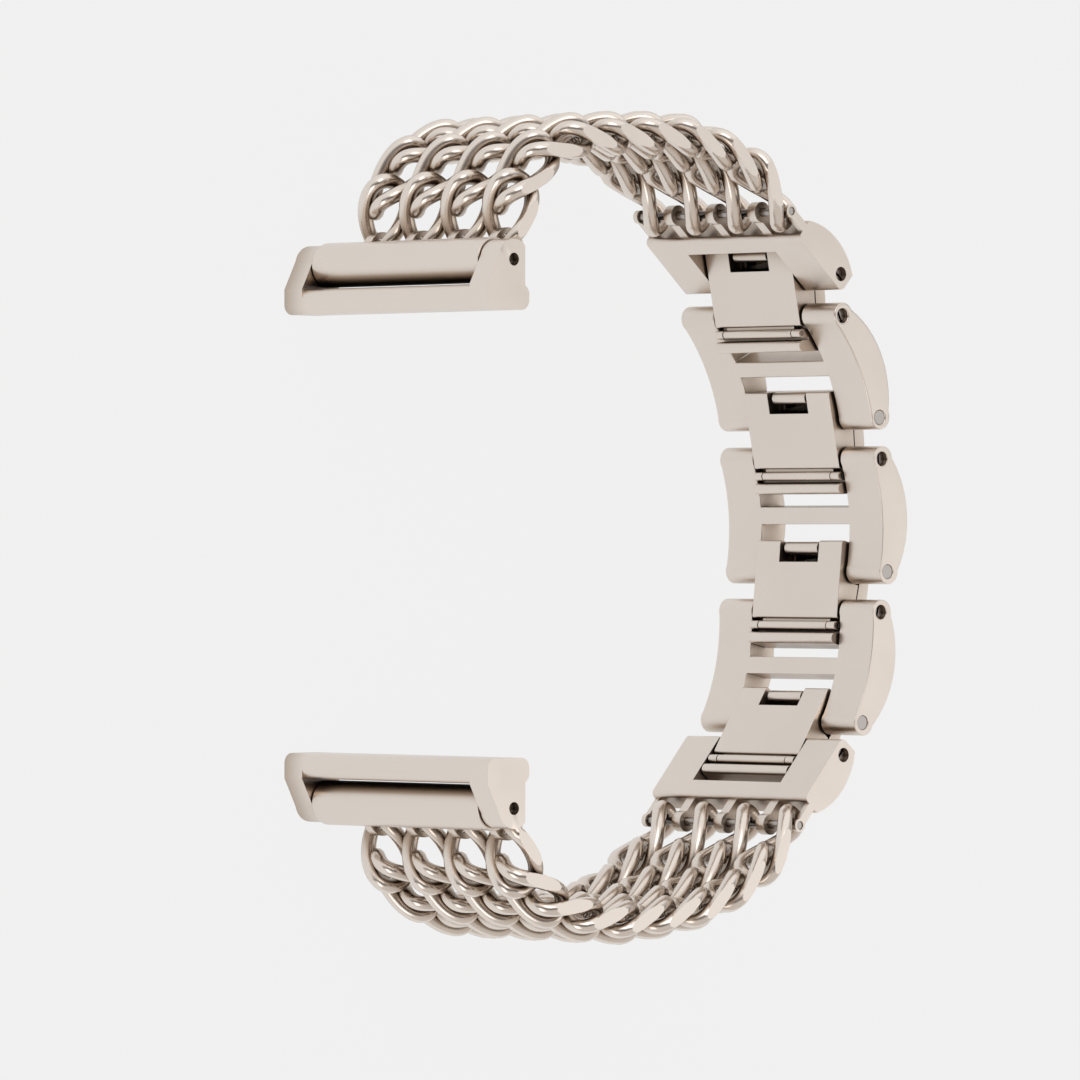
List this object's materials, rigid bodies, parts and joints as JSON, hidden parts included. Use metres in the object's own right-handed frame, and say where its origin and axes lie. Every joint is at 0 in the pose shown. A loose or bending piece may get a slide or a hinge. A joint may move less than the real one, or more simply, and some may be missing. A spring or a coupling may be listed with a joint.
{
  "type": "metal watch bracelet",
  "caption": "Metal watch bracelet: curb-chain sides of twisted steel rings run into a clasp side of hinged H-shaped links and snap-cover centre links, with slide-in adapters at the ends.",
  "frame": {"origin": "centre of the bounding box, at the bottom: the bracelet lies on its side edge", "axes": "+X from the watch end towards the clasp side, +Y towards 12 o'clock, +Z across the bracelet towards the crown side"},
  "size_m": [0.0516, 0.0704, 0.026],
  "materials": {
    "polished_steel": "polished, pale warm champagne",
    "pin_steel": "drawn pin steel"
  },
  "bodies": {
    "middle_h_link": {"h_link_2": "polished_steel", "h_link_pins_2": "pin_steel"},
    "centre_link_2": {"centre_clip_2": "polished_steel", "cover_hinge_pin_2": "pin_steel"},
    "h_link_1": {"h_link_1": "polished_steel", "h_link_pins_1": "pin_steel"},
    "centre_link_1": {"centre_clip_1": "polished_steel", "cover_hinge_pin_1": "pin_steel"},
    "upper_end_frame": {"upper_end_frame": "polished_steel", "upper_frame_pins": "pin_steel"},
    "upper_row_9": {"upper_chain_row_9": "polished_steel"},
    "upper_row_8": {"upper_chain_row_8": "polished_steel"},
    "upper_row_7": {"upper_chain_row_7": "polished_steel"},
    "upper_row_6": {"upper_chain_row_6": "polished_steel"},
    "upper_row_5": {"upper_chain_row_5": "polished_steel"},
    "upper_row_4": {"upper_chain_row_4": "polished_steel"},
    "upper_row_3": {"upper_chain_row_3": "polished_steel"},
    "upper_row_2": {"upper_chain_row_2": "polished_steel"},
    "upper_row_1": {"upper_chain_row_1": "polished_steel"},
    "upper_end_bar": {"upper_end_bar": "polished_steel"},
    "upper_adapter": {"upper_adapter": "polished_steel", "upper_ear_pin": "pin_steel", "upper_latch_spring": "pin_steel"},
    "upper_latch_button": {"upper_latch_button": "polished_steel"},
    "centre_link_3": {"centre_clip_3": "polished_steel", "cover_hinge_pin_3": "pin_steel"},
    "h_link_3": {"h_link_3": "polished_steel", "h_link_pins_3": "pin_steel"},
    "centre_link_4": {"centre_clip_4": "polished_steel", "cover_hinge_pin_4": "pin_steel"},
    "lower_end_frame": {"lower_end_frame": "polished_steel", "lower_frame_pins": "pin_steel"},
    "lower_row_9": {"lower_chain_row_9": "polished_steel"},
    "lower_row_8": {"lower_chain_row_8": "polished_steel"},
    "lower_row_7": {"lower_chain_row_7": "polished_steel"},
    "lower_row_6": {"lower_chain_row_6": "polished_steel"},
    "lower_row_5": {"lower_chain_row_5": "polished_steel"},
    "lower_row_4": {"lower_chain_row_4": "polished_steel"},
    "lower_row_3": {"lower_chain_row_3": "polished_steel"},
    "lower_row_2": {"lower_chain_row_2": "polished_steel"},
    "lower_row_1": {"lower_chain_row_1": "polished_steel"},
    "lower_end_bar": {"lower_end_bar": "polished_steel"},
    "lower_adapter": {"lower_adapter": "polished_steel", "lower_ear_pin": "pin_steel", "lower_latch_spring": "pin_steel"},
    "lower_latch_button": {"lower_latch_button": "polished_steel"},
    "snap_cover_1": {"snap_cover_1": "polished_steel"},
    "snap_cover_2": {"snap_cover_2": "polished_steel"},
    "snap_cover_3": {"snap_cover_3": "polished_steel"},
    "snap_cover_4": {"snap_cover_4": "polished_steel"}
  },
  "joints": [
    {"name": "upper_link_hinge_1", "type": "hinge", "parent": "middle_h_link", "child": "centre_link_2", "pos_m": [0.02278, 0.00594, 0.013], "axis": [0, 0, -1], "range_deg": [-36, 40]},
    {"name": "upper_link_hinge_2", "type": "hinge", "parent": "centre_link_2", "child": "h_link_1", "pos_m": [0.02253, 0.00954, 0.013], "axis": [0, 0, 1], "range_deg": [-45, 36]},
    {"name": "upper_link_hinge_3", "type": "hinge", "parent": "h_link_1", "child": "centre_link_1", "pos_m": [0.01808, 0.01827, 0.013], "axis": [0, 0, -1], "range_deg": [-36, 17]},
    {"name": "upper_link_hinge_4", "type": "hinge", "parent": "centre_link_1", "child": "upper_end_frame", "pos_m": [0.01783, 0.02186, 0.013], "axis": [0, 0, 1], "range_deg": [-45, 21]},
    {"name": "upper_row_hinge_9", "type": "hinge", "parent": "upper_end_frame", "child": "upper_row_9", "pos_m": [0.01196, 0.02714, 0.013], "axis": [0, 0, 1], "range_deg": [-14, 52]},
    {"name": "upper_row_hinge_8", "type": "hinge", "parent": "upper_row_9", "child": "upper_row_8", "pos_m": [0.00888, 0.03056, 0.013], "axis": [0, 0, -1], "range_deg": [-29, 43]},
    {"name": "upper_row_hinge_7", "type": "hinge", "parent": "upper_row_8", "child": "upper_row_7", "pos_m": [0.00498, 0.03238, 0.013], "axis": [0, 0, -1], "range_deg": [-40, 32]},
    {"name": "upper_row_hinge_6", "type": "hinge", "parent": "upper_row_7", "child": "upper_row_6", "pos_m": [0.0008, 0.03335, 0.013], "axis": [0, 0, -1], "range_deg": [-40, 32]},
    {"name": "upper_row_hinge_5", "type": "hinge", "parent": "upper_row_6", "child": "upper_row_5", "pos_m": [-0.0035, 0.03342, 0.013], "axis": [0, 0, 1], "range_deg": [-23, 49]},
    {"name": "upper_row_hinge_4", "type": "hinge", "parent": "upper_row_5", "child": "upper_row_4", "pos_m": [-0.0078, 0.03327, 0.013], "axis": [0, 0, 1], "range_deg": [-22, 50]},
    {"name": "upper_row_hinge_3", "type": "hinge", "parent": "upper_row_4", "child": "upper_row_3", "pos_m": [-0.01209, 0.03297, 0.013], "axis": [0, 0, -1], "range_deg": [-34, 38]},
    {"name": "upper_row_hinge_2", "type": "hinge", "parent": "upper_row_3", "child": "upper_row_2", "pos_m": [-0.01608, 0.03136, 0.013], "axis": [0, 0, 1], "range_deg": [-48, 24]},
    {"name": "upper_row_hinge_1", "type": "hinge", "parent": "upper_row_2", "child": "upper_row_1", "pos_m": [-0.01884, 0.02807, 0.013], "axis": [0, 0, 1], "range_deg": [-53, 19]},
    {"name": "upper_eye_hinge", "type": "hinge", "parent": "upper_row_1", "child": "upper_end_bar", "pos_m": [-0.01942, 0.02335, 0.013], "axis": [0, 0, -1], "range_deg": [-45, 40]},
    {"name": "upper_adapter_hinge", "type": "hinge", "parent": "upper_end_bar", "child": "upper_adapter", "pos_m": [-0.02294, 0.02221, 0.013], "axis": [0, 0, 1], "range_deg": [-60, 30]},
    {"name": "upper_latch_press", "type": "slide", "parent": "upper_adapter", "child": "upper_latch_button", "axis": [-1, 0, 0], "range_m": [0, 0.0008], "stiffness_N_per_m": 400, "springref_m": -0.0005},
    {"name": "lower_link_hinge_1", "type": "hinge", "parent": "middle_h_link", "child": "centre_link_3", "pos_m": [0.02347, -0.00383, 0.013], "axis": [0, 0, -1], "range_deg": [-45, 36]},
    {"name": "lower_link_hinge_2", "type": "hinge", "parent": "centre_link_3", "child": "h_link_3", "pos_m": [0.02266, -0.00734, 0.013], "axis": [0, 0, 1], "range_deg": [-36, 40]},
    {"name": "lower_link_hinge_3", "type": "hinge", "parent": "h_link_3", "child": "centre_link_4", "pos_m": [0.02045, -0.01689, 0.013], "axis": [0, 0, -1], "range_deg": [-45, 36]},
    {"name": "lower_link_hinge_4", "type": "hinge", "parent": "centre_link_4", "child": "lower_end_frame", "pos_m": [0.01814, -0.01965, 0.013], "axis": [0, 0, 1], "range_deg": [-36, 41]},
    {"name": "lower_row_hinge_9", "type": "hinge", "parent": "lower_end_frame", "child": "lower_row_9", "pos_m": [0.01295, -0.02561, 0.013], "axis": [0, 0, 1], "range_deg": [-43, 23]},
    {"name": "lower_row_hinge_8", "type": "hinge", "parent": "lower_row_9", "child": "lower_row_8", "pos_m": [0.00976, -0.02892, 0.013], "axis": [0, 0, 1], "range_deg": [-37, 35]},
    {"name": "lower_row_hinge_7", "type": "hinge", "parent": "lower_row_8", "child": "lower_row_7", "pos_m": [0.00607, -0.03113, 0.013], "axis": [0, 0, -1], "range_deg": [-32, 40]},
    {"name": "lower_row_hinge_6", "type": "hinge", "parent": "lower_row_7", "child": "lower_row_6", "pos_m": [0.00201, -0.03253, 0.013], "axis": [0, 0, -1], "range_deg": [-31, 41]},
    {"name": "lower_row_hinge_5", "type": "hinge", "parent": "lower_row_6", "child": "lower_row_5", "pos_m": [-0.00225, -0.03313, 0.013], "axis": [0, 0, -1], "range_deg": [-24, 48]},
    {"name": "lower_row_hinge_4", "type": "hinge", "parent": "lower_row_5", "child": "lower_row_4", "pos_m": [-0.00654, -0.03343, 0.013], "axis": [0, 0, 1], "range_deg": [-43, 29]},
    {"name": "lower_row_hinge_3", "type": "hinge", "parent": "lower_row_4", "child": "lower_row_3", "pos_m": [-0.01082, -0.03306, 0.013], "axis": [0, 0, -1], "range_deg": [-33, 39]},
    {"name": "lower_row_hinge_2", "type": "hinge", "parent": "lower_row_3", "child": "lower_row_2", "pos_m": [-0.01491, -0.03173, 0.013], "axis": [0, 0, 1], "range_deg": [-33, 39]},
    {"name": "lower_row_hinge_1", "type": "hinge", "parent": "lower_row_2", "child": "lower_row_1", "pos_m": [-0.01835, -0.02914, 0.013], "axis": [0, 0, 1], "range_deg": [-12, 60]},
    {"name": "lower_eye_hinge", "type": "hinge", "parent": "lower_row_1", "child": "lower_end_bar", "pos_m": [-0.01942, -0.02451, 0.013], "axis": [0, 0, -1], "range_deg": [-40, 45]},
    {"name": "lower_adapter_hinge", "type": "hinge", "parent": "lower_end_bar", "child": "lower_adapter", "pos_m": [-0.02293, -0.02337, 0.013], "axis": [0, 0, 1], "range_deg": [-30, 60]},
    {"name": "lower_latch_press", "type": "slide", "parent": "lower_adapter", "child": "lower_latch_button", "axis": [-1, 0, 0], "range_m": [0, 0.0008], "stiffness_N_per_m": 400, "springref_m": -0.0005},
    {"name": "snap_cover_hinge_1", "type": "hinge", "parent": "centre_link_1", "child": "snap_cover_1", "pos_m": [0.01738, 0.01682, 0.013], "axis": [0, 0, 1], "range_deg": [0, 100]},
    {"name": "snap_cover_hinge_2", "type": "hinge", "parent": "centre_link_2", "child": "snap_cover_2", "pos_m": [0.02208, 0.00449, 0.013], "axis": [0, 0, 1], "range_deg": [0, 100]},
    {"name": "snap_cover_hinge_3", "type": "hinge", "parent": "centre_link_3", "child": "snap_cover_3", "pos_m": [0.02156, -0.00852, 0.013], "axis": [0, 0, 1], "range_deg": [0, 100]},
    {"name": "snap_cover_hinge_4", "type": "hinge", "parent": "centre_link_4", "child": "snap_cover_4", "pos_m": [0.01663, -0.0202, 0.013], "axis": [0, 0, 1], "range_deg": [0, 100]}
  ]
}
